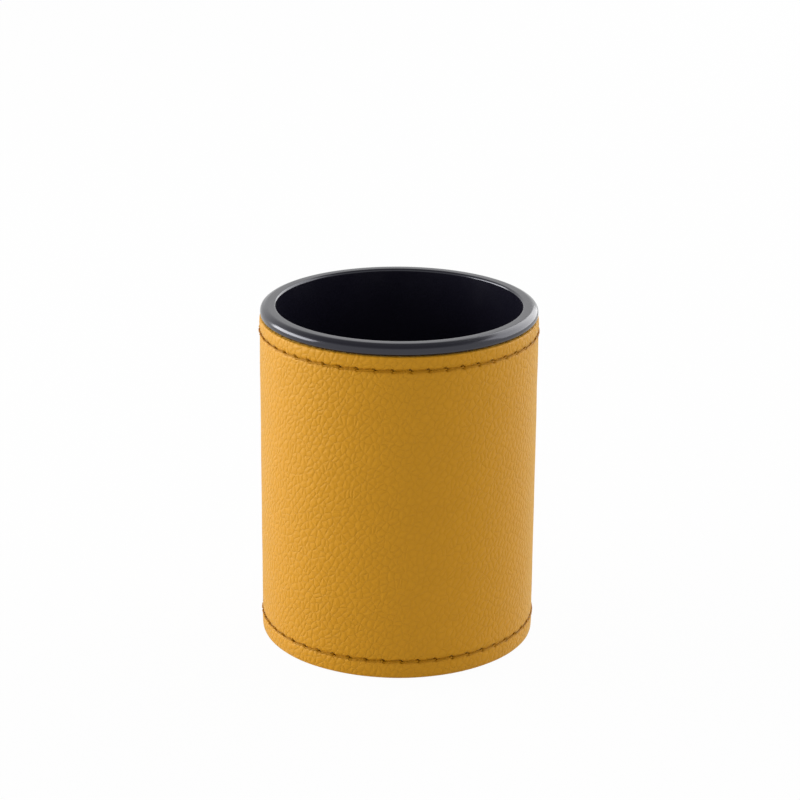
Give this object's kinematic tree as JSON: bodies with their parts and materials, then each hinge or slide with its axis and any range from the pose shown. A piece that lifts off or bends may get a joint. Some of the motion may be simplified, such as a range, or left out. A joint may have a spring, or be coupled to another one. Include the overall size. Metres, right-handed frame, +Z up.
{
  "type": "pen holder",
  "caption": "Round desk pen holder: a saddle-stitched leather sleeve over a board stiffener and felted base, with a lift-out moulded cup whose domed rim covers the leather's upper fold.",
  "frame": {"origin": "centre of the foot, on the table", "axes": "+Z up along the holder's axis, -Y towards the front, +Y towards the back seam"},
  "size_m": [0.0858, 0.0858, 0.1058],
  "materials": {
    "leather": "mustard yellow grained leather, semi-matt",
    "thread": "mustard yellow bonded thread, slightly waxy",
    "board": "grey-brown pressed board",
    "felt": "black needled felt",
    "plastic": "charcoal moulded plastic, satin"
  },
  "bodies": {
    "sleeve": {"leather_sleeve": "leather", "stiffener_board": "board", "top_hem_strand_1": "thread", "top_hem_strand_2": "thread", "bottom_hem_strand_1": "thread", "bottom_hem_strand_2": "thread", "back_seam_strand_1": "thread", "back_seam_strand_2": "thread", "base_board": "board", "base_felt": "felt"},
    "liner": {"inner_cup": "plastic"}
  },
  "joints": [
    {"name": "liner_lift", "type": "slide", "parent": "sleeve", "child": "liner", "axis": [0, 0, 1], "range_m": [0, 0.106]}
  ]
}
